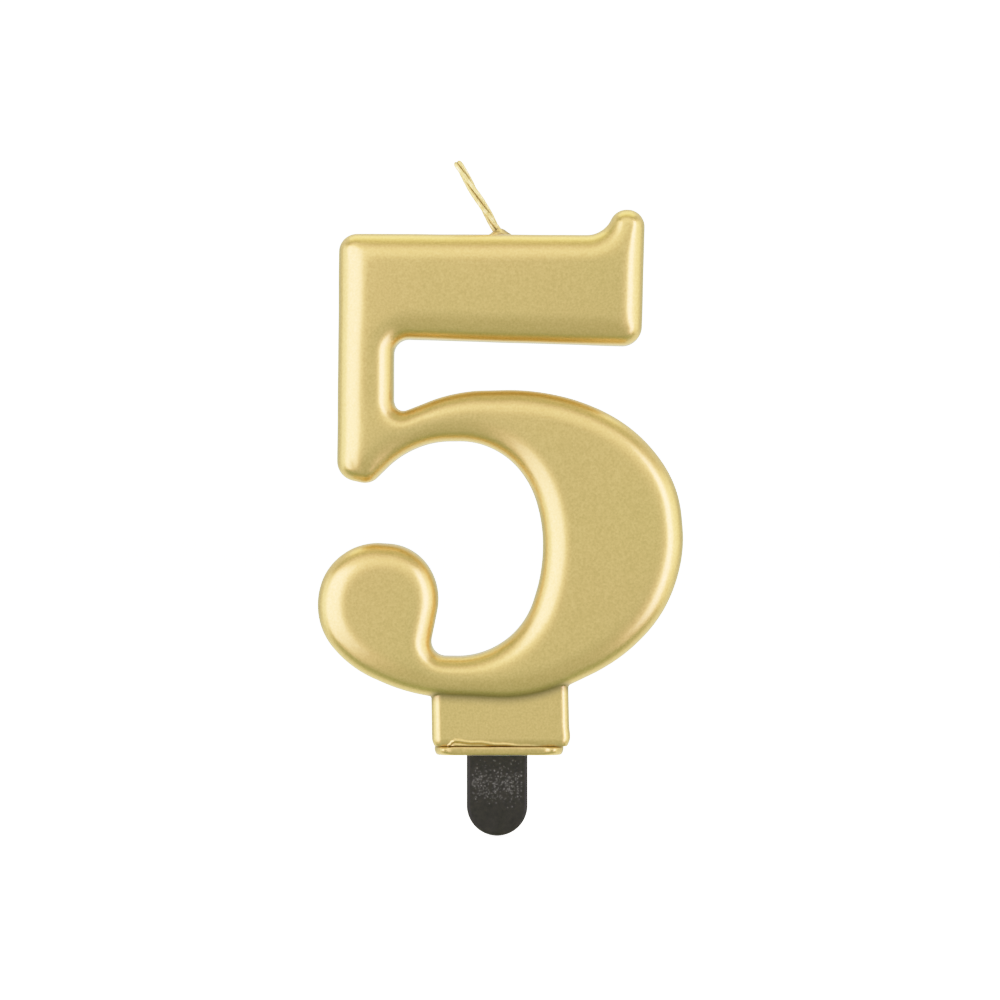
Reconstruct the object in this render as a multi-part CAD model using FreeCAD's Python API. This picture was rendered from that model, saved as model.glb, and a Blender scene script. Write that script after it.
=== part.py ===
import FreeCAD, Part
import math
import os

# Number birthday candle, figure five. Millimetres, +Z up, the figure's front faces -Y.
# The origin is the middle of the underside of the foot, with the pick below it.

V = FreeCAD.Vector

# --- sizes -----------------------------------------------------------------------------------------
COAT = 0.2                # thickness of the gold lacquer skin

FIGURE_DEPTH = 11.0       # front to back
FIGURE_EDGE = 2.6         # rounding of the figure's front and back edges

PLINTH_LEFT = -10.3
PLINTH_RIGHT = 10.35
PLINTH_DEPTH = 7.6
PLINTH_BOTTOM = 1.3
PLINTH_TOP = 12.5         # buried in the bowl of the figure
PLINTH_EDGE = 1.5         # rounding of the plinth's upright edges
PLINTH_LIP = 0.4          # rounding of its lower edge

FOOT_LEFT = -9.75
FOOT_RIGHT = 9.3
FOOT_DEPTH = 7.0
FOOT_CORNER = 2.2         # plan radius of the foot's corners
FOOT_EDGE = 0.45          # rounding of the foot's lower edge

PICK_CENTRE = -0.5
PICK_WIDTH = 9.1
PICK_THICK = 1.6
PICK_BELOW = 12.2         # blade below the foot
PICK_ABOVE = 7.4          # anchor inside the wax
PICK_EDGE = 0.6           # rounding of the pick's long edges
ANCHOR_CHAMFER = 1.4
ANCHOR_HOLE = 1.3         # radius of the holes that the wax keys through
ANCHOR_HOLE_X = 2.3       # either side of the pick's centre line
ANCHOR_HOLE_Z = 4.3

PLY_RADIUS = 0.315
PLY_OFFSET = 0.39         # each ply's distance from the wick's own centre line
PLY_PITCH = 19.0
PLY_START = 73.0          # degrees round the wick at which the first ply starts, at its foot
PLY_COUNT = 3
WICK_X = -0.2
WICK_FOOT = 66.0          # lower end, inside the bar
WICK_BEND_START = 77.75
WICK_BEND_RADIUS = 1.5
WICK_LEAN = 30.8          # degrees, towards -X
WICK_FREE = 12.1          # straight stretch above the bend
WICK_BORE = 0.73          # radius of the hole round the wick

COLLAR_RADIUS = 1.6
COLLAR_TOP_RADIUS = 0.95
COLLAR_RIM = 0.12         # thickness left at the mound's outer rim
COLLAR_HEIGHT = 0.75
COLLAR_SEAT = 77.88       # height of the bar's top edge at the wick

# --- outline of the figure: corner x, corner z and corner radius, clockwise from the top left -------
BAR_AND_FLAG = [
    (-24.25, 78.1, 2.8),
    (15.3, 77.85, 3.9),
    (17.2, 81.65, 2.7),
    (21.75, 81.65, 2.7),
    (21.2, 61.0, 3.0),
    (-15.8, 62.2, 2.1),
]
COUNTER_FOOT = [
    (-15.9, 52.9, 1.7),
    (-15.3, 51.2, 1.3),
]
BOWL_OUTSIDE = [
    (-6.8, 54.5, 24.0),
    (7.1, 54.9, 33.0),
    (20.0, 49.8, 23.0),
    (26.8, 40.4, 17.0),
    (28.2, 24.1, 21.5),
    (17.5, 13.8, 26.0),
    (5.0, 7.8, 23.0),
    (-12.8, 8.6, 30.0),
    (-22.3, 12.8, 17.0),
]
BALL = [
    (-28.5, 19.9, 10.0),
    (-26.2, 28.3, 8.8),
    (-20.9, 32.0, 8.5),
    (-12.4, 31.4, 7.8),
    (-8.7, 24.7, 8.7),
    (-10.2, 17.5, 2.3),
]
BOWL_INSIDE = [
    (-10.7, 14.9, 2.1),
    (-3.1, 14.8, 11.5),
    (3.6, 19.1, 11.5),
    (7.2, 30.6, 23.5),
    (4.8, 39.8, 13.4),
    (-0.3, 46.9, 11.4),
    (-10.1, 46.8, 13.2),
    (-14.9, 44.8, 13.0),
]
STEM_FOOT = [
    (-19.5, 40.35, 2.7),
    (-24.55, 41.45, 3.1),
]
FIGURE = BAR_AND_FLAG + COUNTER_FOOT + BOWL_OUTSIDE + BALL + BOWL_INSIDE + STEM_FOOT


# --- plane outlines --------------------------------------------------------------------------------
def unit(ax, az, bx, bz):
    length = math.hypot(bx - ax, bz - az)
    return (bx - ax) / length, (bz - az) / length


def inset_corners(corners, inset):
    """The same outline moved inwards: each side shifts, and each corner radius keeps its centre."""
    count = len(corners)
    moved = []
    for i in range(count):
        px, pz, _ = corners[i - 1]
        x, z, radius = corners[i]
        nx, nz, _ = corners[(i + 1) % count]
        ux, uz = unit(px, pz, x, z)
        wx, wz = unit(x, z, nx, nz)
        turn = ux * wz - uz * wx
        # inward normals of the two sides of a clockwise outline
        ax, az = uz, -ux
        bx, bz = wz, -wx
        share = inset / (1.0 + ax * bx + az * bz)
        moved.append((x + share * (ax + bx), z + share * (az + bz), radius + math.copysign(inset, turn)))
    return moved


def rounded_wire(corners):
    """A closed wire of straight sides joined by tangent arcs, in the XZ plane."""
    count = len(corners)
    arcs = []
    for i in range(count):
        px, pz, _ = corners[i - 1]
        x, z, radius = corners[i]
        nx, nz, _ = corners[(i + 1) % count]
        ux, uz = unit(x, z, px, pz)
        wx, wz = unit(x, z, nx, nz)
        half = math.acos(max(-1.0, min(1.0, ux * wx + uz * wz))) / 2
        run = radius / math.tan(half)
        reach = radius / math.sin(half) - radius
        mx, mz = unit(0, 0, ux + wx, uz + wz)
        arcs.append((V(x + ux * run, 0, z + uz * run),
                     V(x + mx * reach, 0, z + mz * reach),
                     V(x + wx * run, 0, z + wz * run)))
    edges = []
    for i in range(count):
        start, middle, end = arcs[i]
        edges.append(Part.Arc(start, middle, end).toShape())
        edges.append(Part.LineSegment(end, arcs[(i + 1) % count][0]).toShape())
    return Part.Wire(edges)


def slab(wire, depth):
    """A plate of the given depth, centred on the XZ plane."""
    plate = Part.Face(wire).extrude(V(0, depth, 0))
    plate.translate(V(0, -depth / 2, 0))
    return plate


def flat_edges(shape, axis, level):
    """The edges of a shape that lie in the plane where one coordinate has the given value."""
    picked = []
    for edge in shape.Edges:
        box = edge.BoundBox
        low, high = (box.YMin, box.YMax) if axis == "y" else (box.ZMin, box.ZMax)
        if abs(low - level) < 0.01 and abs(high - level) < 0.01:
            picked.append(edge)
    return picked


def rounded_block(left, right, depth, bottom, top, corner):
    """An upright block with rounded upright edges."""
    width = right - left
    block = Part.makeBox(width, depth, top - bottom, V(left, -depth / 2, bottom))
    upright = [e for e in block.Edges if e.BoundBox.ZLength > 0.5 * (top - bottom)]
    return block.makeFillet(corner, upright)


# --- the casting and its skin ----------------------------------------------------------------------
def figure_body(inset):
    """The figure as a plate with rounded front and back edges."""
    depth = FIGURE_DEPTH - 2 * inset
    plate = slab(rounded_wire(inset_corners(FIGURE, inset)), depth)
    rims = flat_edges(plate, "y", depth / 2) + flat_edges(plate, "y", -depth / 2)
    return plate.makeFillet(FIGURE_EDGE - inset, rims)


def plinth_body(inset, bottom):
    """The plinth, which runs up into the bowl of the figure."""
    block = rounded_block(PLINTH_LEFT + inset, PLINTH_RIGHT - inset, PLINTH_DEPTH - 2 * inset,
                          bottom, PLINTH_TOP, PLINTH_EDGE - inset)
    return block.makeFillet(PLINTH_LIP, flat_edges(block, "z", bottom))


def casting(inset, bottom):
    return figure_body(inset).fuse(plinth_body(inset, bottom)).removeSplitter()


def foot_body(inset):
    """The band of wax below the plinth."""
    block = rounded_block(FOOT_LEFT + inset, FOOT_RIGHT - inset, FOOT_DEPTH - 2 * inset,
                          0.0, PLINTH_BOTTOM, FOOT_CORNER - inset)
    return block.makeFillet(FOOT_EDGE - inset / 2, flat_edges(block, "z", 0.0))


# --- the pick --------------------------------------------------------------------------------------
def pick_body():
    """A flat pick with a round point below and a chamfered, pierced anchor above."""
    left = PICK_CENTRE - PICK_WIDTH / 2
    right = PICK_CENTRE + PICK_WIDTH / 2
    round_z = PICK_WIDTH / 2 - PICK_BELOW
    top = PICK_ABOVE
    corners = [V(left, 0, round_z), V(left, 0, top - ANCHOR_CHAMFER), V(left + ANCHOR_CHAMFER, 0, top),
               V(right - ANCHOR_CHAMFER, 0, top), V(right, 0, top - ANCHOR_CHAMFER), V(right, 0, round_z)]
    edges = [Part.LineSegment(a, b).toShape() for a, b in zip(corners, corners[1:])]
    edges.append(Part.Arc(corners[-1], V(PICK_CENTRE, 0, -PICK_BELOW), corners[0]).toShape())
    plate = slab(Part.Wire(edges), PICK_THICK)
    rims = flat_edges(plate, "y", PICK_THICK / 2) + flat_edges(plate, "y", -PICK_THICK / 2)
    pick = plate.makeFillet(PICK_EDGE, rims)
    for side in (-1, 1):
        start = V(PICK_CENTRE + side * ANCHOR_HOLE_X, -PICK_THICK, ANCHOR_HOLE_Z)
        pick = pick.cut(Part.makeCylinder(ANCHOR_HOLE, 2 * PICK_THICK, start, V(0, 1, 0)))
    return pick


# --- the wick --------------------------------------------------------------------------------------
def wick_station(travel):
    """Point and in-plane normal of the wick's centre line after a length of travel from its foot."""
    upright = WICK_BEND_START - WICK_FOOT
    lean = math.radians(WICK_LEAN)
    bend = WICK_BEND_RADIUS * lean
    if travel <= upright:
        return V(WICK_X, 0, WICK_FOOT + travel), V(1, 0, 0)
    turned = min(travel - upright, bend) / WICK_BEND_RADIUS
    x = WICK_X - WICK_BEND_RADIUS * (1 - math.cos(turned))
    z = WICK_BEND_START + WICK_BEND_RADIUS * math.sin(turned)
    beyond = max(0.0, travel - upright - bend)
    point = V(x - beyond * math.sin(lean), 0, z + beyond * math.cos(lean))
    return point, V(math.cos(turned), 0, math.sin(turned))


def wick_ply(number):
    """One ply of the wick: a round strand laid in a helix about the bent centre line."""
    length = WICK_BEND_START - WICK_FOOT + WICK_BEND_RADIUS * math.radians(WICK_LEAN) + WICK_FREE
    steps = int(round(length / 0.8))
    points = []
    for i in range(steps + 1):
        travel = length * i / steps
        centre, normal = wick_station(travel)
        phase = 2 * math.pi * (number / PLY_COUNT - travel / PLY_PITCH) + math.radians(PLY_START)
        points.append(centre + normal * (PLY_OFFSET * math.cos(phase)) + V(0, PLY_OFFSET * math.sin(phase), 0))
    curve = Part.BSplineCurve()
    curve.interpolate(points)
    path = Part.Wire([curve.toShape()])
    heading = curve.tangent(curve.FirstParameter)[0]
    ring = Part.Wire([Part.makeCircle(PLY_RADIUS, points[0], heading)])
    return path.makePipeShell([ring], True, False)


def wick_bore():
    """The upright hole for the wick, out through the top of the bar."""
    return Part.makeCylinder(WICK_BORE, 24.0, V(WICK_X, 0, WICK_FOOT), V(0, 0, 1))


def wick_passage():
    """The room that the wick takes up where it leaves the bar: upright, round its bend and leaning."""
    below = V(WICK_X, 0, WICK_BEND_START - 2.0)
    start = V(WICK_X, 0, WICK_BEND_START)
    lean = math.radians(WICK_LEAN)
    arc_points = []
    for turned in (lean / 2, lean):
        arc_points.append(V(WICK_X - WICK_BEND_RADIUS * (1 - math.cos(turned)), 0,
                            WICK_BEND_START + WICK_BEND_RADIUS * math.sin(turned)))
    middle, end = arc_points
    above = end + V(-math.sin(lean), 0, math.cos(lean)) * 3.0
    path = Part.Wire([Part.LineSegment(below, start).toShape(), Part.Arc(start, middle, end).toShape(),
                      Part.LineSegment(end, above).toShape()])
    ring = Part.Wire([Part.makeCircle(WICK_BORE, below, V(0, 0, 1))])
    return path.makePipeShell([ring], True, False)


def wick_collar():
    """The mound at the wick's root, with a hollow slope that thins out on the bar."""
    rim = V(WICK_X + COLLAR_RADIUS, 0, 0)
    low = V(WICK_X + COLLAR_RADIUS, 0, COLLAR_RIM)
    slope = V(WICK_X + 0.5 * (COLLAR_RADIUS + COLLAR_TOP_RADIUS) - 0.12, 0, 0.3)
    high = V(WICK_X + COLLAR_TOP_RADIUS, 0, COLLAR_HEIGHT)
    axis_top = V(WICK_X, 0, COLLAR_HEIGHT)
    axis_foot = V(WICK_X, 0, 0)
    edges = [Part.LineSegment(axis_foot, rim).toShape(), Part.LineSegment(rim, low).toShape(),
             Part.Arc(low, slope, high).toShape(), Part.LineSegment(high, axis_top).toShape(),
             Part.LineSegment(axis_top, axis_foot).toShape()]
    mound = Part.Face(Part.Wire(edges)).revolve(axis_foot, V(0, 0, 1), 360)
    mound.translate(V(0, 0, COLLAR_SEAT))
    return mound


# --- assembly --------------------------------------------------------------------------------------
def build():
    bore = wick_bore()
    outside = casting(0.0, PLINTH_BOTTOM)
    wax = casting(COAT, PLINTH_BOTTOM)
    open_below = casting(COAT, PLINTH_BOTTOM - 2.0)
    pick = pick_body()
    foot = foot_body(COAT)

    nodes = {}
    nodes["wax_core"] = wax.cut(pick).cut(bore)
    nodes["gold_coat"] = outside.cut(open_below).cut(bore)
    nodes["foot_seal"] = foot.cut(pick)
    nodes["foot_coat"] = foot_body(0.0).cut(foot)
    for number in range(PLY_COUNT):
        nodes["wick_ply_%d" % (number + 1)] = wick_ply(number)
    nodes["wick_collar"] = wick_collar().cut(outside).cut(wick_passage())
    nodes["cake_pick"] = pick
    return nodes


def single_solid(shape):
    """The one solid of a shape, or a clear stop when there are several."""
    if len(shape.Solids) != 1:
        raise RuntimeError("expected one solid, got %d" % len(shape.Solids))
    return shape.Solids[0]


os.makedirs("parts", exist_ok=True)
for name, shape in build().items():
    solid = single_solid(shape)
    solid.exportStep("parts/%s.step" % name)
    size = solid.BoundBox
    print("%-12s volume %9.3f mm3  valid %s  box %.2f %.2f %.2f .. %.2f %.2f %.2f" % (
        name, solid.Volume, solid.isValid(), size.XMin, size.YMin, size.ZMin, size.XMax, size.YMax, size.ZMax))
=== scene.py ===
import math

import bmesh
import bpy
import numpy as np
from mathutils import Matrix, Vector

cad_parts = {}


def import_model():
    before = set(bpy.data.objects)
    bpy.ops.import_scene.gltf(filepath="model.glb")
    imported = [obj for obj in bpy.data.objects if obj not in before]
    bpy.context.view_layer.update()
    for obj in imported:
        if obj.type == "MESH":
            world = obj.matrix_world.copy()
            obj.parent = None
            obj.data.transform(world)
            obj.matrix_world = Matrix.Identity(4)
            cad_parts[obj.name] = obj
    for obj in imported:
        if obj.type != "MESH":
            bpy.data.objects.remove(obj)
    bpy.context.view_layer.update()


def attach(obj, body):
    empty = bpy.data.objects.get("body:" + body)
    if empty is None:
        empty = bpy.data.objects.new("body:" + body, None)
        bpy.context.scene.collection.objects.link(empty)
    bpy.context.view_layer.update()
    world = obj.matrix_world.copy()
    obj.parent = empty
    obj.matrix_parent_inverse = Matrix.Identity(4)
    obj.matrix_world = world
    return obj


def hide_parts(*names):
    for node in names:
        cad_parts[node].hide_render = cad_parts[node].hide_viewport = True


# Number birthday candle, figure five, as a lacquered wax casting with a twisted wick and a cake pick.
# Shapes are worked out in millimetres in the CAD frame: +Z up, the figure's front faces -Y.

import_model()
MM = 0.001

# --- sizes, in millimetres ---
FIGURE_HALF = 5.5         # half the figure's depth
EDGE_WIDE = 4.3           # rounding of the figure's edges, measured across its face
EDGE_DEEP = 3.0           # and measured from front to back
TRIM = 0.1                # how far the casting lies inside its nominal outline
COAT = 0.2                # thickness of the lacquer
GAP = 0.01                # clearance between pieces that touch

CROWN = 0.5               # how far the faces fall from their middle towards the outline, at most
CROWN_REACH = 4.0
STEM_SIDE = -12           # left of this the stem's face falls away,
STEM_FALL = 0.03          # this steeply at its top,
STEM_FROM, STEM_RAMP = 30, 40  # setting in over these heights
BAR_LEAN = 0.04           # how steeply the bar's face leans at its right end,
BAR_MIDDLE = 70.0         # about this height,
BAR_FROM, BAR_RAMP = 56, 4  # setting in over these heights
BAR_START, BAR_RUN = -2, 18  # and along this part of the bar
SWELL = 0.018             # waviness of the casting
RIDGE_REACH = 0.9         # how widely ridges on narrow parts of the figure are rounded off
RIDGE_FROM, RIDGE_RAMP = 1.2, 1.6
FIELD_LEFT, FIELD_FOOT, FIELD_TOP, FIELD_STEP = -42.0, -12.0, 96.0, 0.5

PLINTH_LEFT, PLINTH_RIGHT = -10.34, 10.22
PLINTH_SHIFT = 0.02       # how far both sides move to the right for each millimetre down
PLINTH_SHIFT_FROM = 8.1   # the height where that starts from
PLINTH_HALF = 3.8         # half the plinth's depth
PLINTH_EDGE = 1.5
PLINTH_BOTTOM = 1.3
PLINTH_TOP = 12.5
BULGE, BULGE_HEIGHT, BULGE_SPREAD = 0.12, 2.9, 0.9
TUCK, TUCK_FROM, TUCK_REACH = 0.55, 2.6, 1.5  # how the plinth draws in towards its lower edge
LIP = 0.16                # rounding of the plinth's lower edge
BLEND = 0.25              # fillet between plinth and figure

PEAK_X, PEAK_HEIGHT = -6.8, 2.18  # the highest point of the fold above the plinth's edge
FOLD_FALL = 0.075         # how steeply the fold runs down to the right of that point
FOLD_CURL = 0.8           # and to the left of it
FOLD_END, FOLD_FADE = 9.3, 1.2  # where the fold ends on either side, and over what length
CREST_HIGH, CREST_WIDE = 0.17, 0.19
GROOVE_DEEP, GROOVE_WIDE, GROOVE_DROP = 0.10, 0.14, 0.36
ROLL_HIGH, ROLL_WIDE, ROLL_HEIGHT = 0.12, 0.2, 1.5
ROLL_ROOM, ROLL_FADE = 1.62, 0.12  # the crest's height that leaves room for groove and roll
CREASE_WIDE = 0.6         # reach of the painted shade in the crease between bowl and plinth
LIP_SHADE = 0.55        # how dark the painted shadow is in the line between plinth and foot, against that crease
SHADE_ABOVE, SHADE_BELOW = 0.22, 0.12  # and how far it reaches from that line

FOOT_LEFT, FOOT_RIGHT = -9.75, 9.3
FOOT_HALF = 3.5
FOOT_CORNER = 2.2
FOOT_OPENING = 0.7        # inset of the opening under the casting from the foot's outline
FOOT_SPREAD = 9.5         # half the foot's length, for spreading points round it
LOOP_COUNT = 220          # points in each loop round the foot
BEAD = 17.0               # the lacquer's beads at the foot's ends, against its runs elsewhere
BEAD_LEFT, BEAD_LEFT_WIDE = -8.5, 0.75
BEAD_RIGHT, BEAD_RIGHT_WIDE = 7.9, 0.9
# Section of the lacquer round the foot, as inset from its outline, height and amount of running.
BAND_SECTION = [(0.75, 1.28, 0.0), (0.2, 1.3, 0.0), (0.0, 1.28, 0.01), (-0.1, 1.2, 0.02),
                (-0.13, 1.02, 0.03), (-0.09, 0.75, 0.035), (-0.03, 0.48, 0.03), (0.05, 0.27, 0.02),
                (0.17, 0.11, 0.01), (0.32, 0.02, 0.0), (0.45, 0.0, 0.0), (0.6, 0.0, 0.0),
                (0.58, 0.06, 0.0), (0.4, 0.22, 0.0), (0.24, 0.5, 0.0), (0.24, 0.95, 0.0),
                (0.45, 1.1, 0.0), (0.75, 1.12, 0.0)]
# Side of the wax inside it, as inset from the outline and height.
SEAL_INSET = 0.63
SEAL_TOP = 1.1
SEAL_SIDE = [(0.62, 0.05), (0.42, 0.25), (0.26, 0.5), (0.26, 0.94), (0.46, 1.08), (0.78, SEAL_TOP)]

PICK_X = -0.5
PICK_HALF = 4.55          # half its width
PICK_THIN = 0.8           # half its thickness
PICK_EDGE = 0.6
PICK_TIP = -12.2
PICK_TOP = 7.4
ANCHOR_CHAMFER = 1.4
KEY_RADIUS, KEY_OUT, KEY_HEIGHT = 1.3, 2.3, 4.3  # the holes in the anchor
PICK_SPREAD = 1.25        # how far the loop's ends reach into the pick's rounded edges
PICK_ROUND = 0.8          # length of those edges in plan, against half the pick's thickness
DOTS = 520                # stipple on each face of the blade
DOT_HIGHEST = 0.1
DOT_SPREAD = 3.7          # half the width that the dots cover
DOTS_MIDDLE, DOTS_SCATTER = -4.5, 1.2  # height of the crowded dots, and how widely they scatter
DOTS_LOWEST, DOTS_HIGHEST = -7.2, -0.8  # range of the others

WICK_X = -0.2
WICK_FOOT = 66.0
BEND_START = 77.75
BEND_RADIUS = 1.5
WICK_LEAN = math.radians(30.8)
WICK_FREE = 12.1          # length of the leaning part
WICK_LENGTH = BEND_START - WICK_FOOT + BEND_RADIUS * WICK_LEAN + WICK_FREE
WICK_BORE = 0.74
PLY_OFFSET = 0.39
PLY_RADIUS = 0.34
PLY_PITCH = 19.0
PLY_START = math.radians(73)
PLY_SHORT = (0.05, 0.12, 0.0)  # how much each ply is cut shorter than the longest
PLY_CLOSING = 0.5         # how far the plies draw together in their last millimetre
PLY_TIP = 0.45            # length of the plies' rounded ends
YARNS, YARN_PITCH = 5, 6.0
YARN_RELIEF = 0.035       # depth of the ribs that the yarns make, against the ply's radius

BAR_TOP = 77.95
MOUND_X = WICK_X - 0.15
MOUND_RADIUS = 0.74       # at the mound's top; the same again is added at its foot
MOUND_TAIL = 0.5          # length of its torn point
MOUND_LEAN = -0.33        # how far its top leans over with the wick
# Section of the mound: share of its spread, and height.
MOUND_SECTION = [(1.0, -0.1), (1.0, 0.03), (0.86, 0.14), (0.68, 0.27), (0.50, 0.44), (0.33, 0.64),
                 (0.16, 0.74), (0.04, 0.76), (0.0, 0.72), (0.0, 0.3), (0.0, -0.1)]

# Outline of the figure: corner x, corner z and corner radius, clockwise from the top left.
BAR_AND_FLAG = [(-24.25, 78.1, 2.8), (15.3, 77.85, 3.9), (17.2, 81.65, 2.7), (21.75, 81.65, 2.7),
                (21.2, 61.0, 3.0), (-15.8, 62.2, 2.1)]
COUNTER_FOOT = [(-15.9, 52.9, 1.7), (-15.3, 51.2, 1.3)]
BOWL_OUTSIDE = [(-6.8, 54.5, 24.0), (7.1, 54.9, 33.0), (20.0, 49.8, 23.0), (26.8, 40.4, 17.0),
                (28.2, 24.1, 21.5), (17.5, 13.8, 26.0), (5.0, 7.8, 23.0), (-12.8, 8.6, 30.0),
                (-22.3, 12.8, 17.0)]
BALL = [(-28.5, 19.9, 10.0), (-26.2, 28.3, 8.8), (-20.9, 32.0, 8.5), (-12.4, 31.4, 7.8),
        (-8.7, 24.7, 8.7), (-10.2, 17.5, 2.3)]
BOWL_INSIDE = [(-10.7, 14.9, 2.1), (-3.1, 14.8, 11.5), (3.6, 19.1, 11.5), (7.2, 30.6, 23.5),
               (4.8, 39.8, 13.4), (-0.3, 46.9, 11.4), (-10.1, 46.8, 13.2), (-14.9, 44.8, 13.0)]
STEM_FOOT = [(-19.5, 40.35, 2.7), (-24.55, 41.45, 3.1)]
FIGURE = BAR_AND_FLAG + COUNTER_FOOT + BOWL_OUTSIDE + BALL + BOWL_INSIDE + STEM_FOOT


# --- plane outline ---
def outline_parts(corners):
    """The corner arcs and straight sides of a rounded polygon."""
    points = np.array([corner[:2] for corner in corners])
    arcs, starts, ends = [], [], []
    for i, (_, _, radius) in enumerate(corners):
        here = points[i]
        back = points[i - 1] - here
        on = points[(i + 1) % len(points)] - here
        back = back / np.linalg.norm(back)
        on = on / np.linalg.norm(on)
        half = math.acos(float(np.clip(back @ on, -1, 1))) / 2
        mid = (back + on) / np.linalg.norm(back + on)
        centre = here + mid * radius / math.sin(half)
        run = radius / math.tan(half)
        convex = back[0] * on[1] - back[1] * on[0] > 0
        arcs.append((centre, radius, -mid, math.pi / 2 - half, convex))
        starts.append(here + back * run)
        ends.append(here + on * run)
    return arcs, list(zip(ends, starts[1:] + starts[:1]))


ARCS, LINES = outline_parts(FIGURE)


def depth_in_outline(x, z):
    """Distance inside the figure's outline, negative outside it."""
    best = np.full(x.shape, 1e9)
    depth = np.full(x.shape, -1e9)
    for centre, radius, mid, half, convex in ARCS:
        dx, dz = x - centre[0], z - centre[1]
        length = np.hypot(dx, dz) + 1e-12
        within = (dx * mid[0] + dz * mid[1]) / length >= math.cos(half + 1e-4)
        gap = np.abs(length - radius)
        take = within & (gap < best)
        best = np.where(take, gap, best)
        depth = np.where(take, (radius - length) if convex else (length - radius), depth)
    for a, b in LINES:
        ux, uz = b - a
        size = math.hypot(ux, uz)
        ux, uz = ux / size, uz / size
        along = (x - a[0]) * ux + (z - a[1]) * uz
        inward = (x - a[0]) * uz - (z - a[1]) * ux
        take = (along > -1e-3) & (along < size + 1e-3) & (np.abs(inward) < best)
        best = np.where(take, np.abs(inward), best)
        depth = np.where(take, inward, depth)
    return depth


# --- implicit solids: negative inside, close to millimetres near the surface ---
def bell(value, width):
    """One where the value is zero, fading to nothing beyond the width."""
    return np.exp(-(value / width) ** 2)


def smooth_min(a, b, fillet):
    """Union of two solids with a fillet between them."""
    share = np.clip(0.5 + 0.5 * (b - a) / fillet, 0.0, 1.0)
    return b + (a - b) * share - fillet * share * (1 - share)


def rounded_slab(depth, inside, wide, deep):
    """A plate whose edge is an elliptical quarter round: depth is in the plane, inside is across it."""
    u = np.maximum(1 - depth / wide, 0)
    v = np.maximum(1 - inside / deep, 0)
    edge = (np.hypot(u, v) - 1) * 0.5 * (wide + deep)
    core = -np.minimum(depth - wide, inside - deep) - 0.5 * (wide + deep)
    return np.where((u > 0) | (v > 0), edge, core)


def rounded_rectangle(x, y, left, right, half, corner):
    """Signed distance to a rounded rectangle in plan."""
    cx, w = (left + right) / 2, (right - left) / 2
    qx = np.abs(x - cx) - w + corner
    qy = np.abs(y) - half + corner
    return np.hypot(np.maximum(qx, 0), np.maximum(qy, 0)) + np.minimum(np.maximum(qx, qy), 0) - corner


def round_corner(a, b, radius):
    """Intersection of two distances with a rounded edge."""
    qa, qb = a + radius, b + radius
    return np.hypot(np.maximum(qa, 0), np.maximum(qb, 0)) + np.minimum(np.maximum(qa, qb), 0) - radius


def smoothed_field(value_at, spread):
    """A grid of values over the figure's plane, smoothed with a bell curve of the given width."""
    xs = np.arange(FIELD_LEFT, -FIELD_LEFT, FIELD_STEP)
    zs = np.arange(FIELD_FOOT, FIELD_TOP, FIELD_STEP)
    field = value_at(*np.meshgrid(xs, zs, indexing="ij"))
    reach = np.arange(-3 * spread, 3 * spread + 0.1, FIELD_STEP)
    kernel = np.exp(-0.5 * (reach / spread) ** 2)
    kernel /= kernel.sum()
    for axis in (0, 1):
        field = np.apply_along_axis(np.convolve, axis, field, kernel, "same")
    return field


def field_value(field, x, z):
    """Reads a smoothed field between its grid points with a cubic spline."""
    u = np.clip((x - FIELD_LEFT) / FIELD_STEP, 1, field.shape[0] - 3.001)
    v = np.clip((z - FIELD_FOOT) / FIELD_STEP, 1, field.shape[1] - 3.001)
    i, j = u.astype(int), v.astype(int)
    total = np.zeros(u.shape)
    for p, share_u in enumerate(spline_shares(u - i)):
        row = np.zeros(u.shape)
        for q, share_v in enumerate(spline_shares(v - j)):
            row += field[i + p - 1, j + q - 1] * share_v
        total += row * share_u
    return total


def spline_shares(t):
    """Weights of the four grid values round a place, t of the way between the middle two."""
    return ((1 - t) ** 3 / 6, (3 * t ** 3 - 6 * t ** 2 + 4) / 6,
            (-3 * t ** 3 + 3 * t ** 2 + 3 * t + 1) / 6, t ** 3 / 6)


CROWN_FIELD = smoothed_field(lambda x, z: (depth_in_outline(x, z) > 0).astype(float), CROWN_REACH)
DEPTH_FIELD = smoothed_field(lambda x, z: np.maximum(depth_in_outline(x, z), -3.0), RIDGE_REACH)


def crown_drop(x, z):
    """How far the faces fall away towards the figure's edges."""
    return CROWN * (1 - field_value(CROWN_FIELD, x, z))


def soft_depth(x, z):
    """Distance inside the outline, without the ridges where two sides are equally near."""
    depth = depth_in_outline(x, z)
    deep = np.nonzero(depth > RIDGE_FROM)
    share = np.clip((depth[deep] - RIDGE_FROM) / RIDGE_RAMP, 0, 1)
    share = share * share * (3 - 2 * share)
    depth[deep] += (field_value(DEPTH_FIELD, x[deep], z[deep]) - depth[deep]) * share
    return depth


def swell(x, y, z):
    """Slow waviness of a hand-finished casting."""
    return (np.sin(0.31 * x + 0.17 * z + 0.9) * np.sin(0.23 * z - 0.11 * x + 0.37 * y)
            + 0.6 * np.sin(0.53 * z + 0.41 * x + 2.1) * np.sin(0.47 * x - 0.19 * z + 1.3)) * SWELL


def crest_height(x):
    """Height of the fold's crest: highest near the left end, running down to the right."""
    right = PEAK_HEIGHT - FOLD_FALL * (x - PEAK_X)
    left = PEAK_HEIGHT - FOLD_CURL * np.maximum(PEAK_X - x, 0) ** 1.3
    return np.minimum(right, left) + 0.06 * np.sin(1.7 * x)


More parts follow.
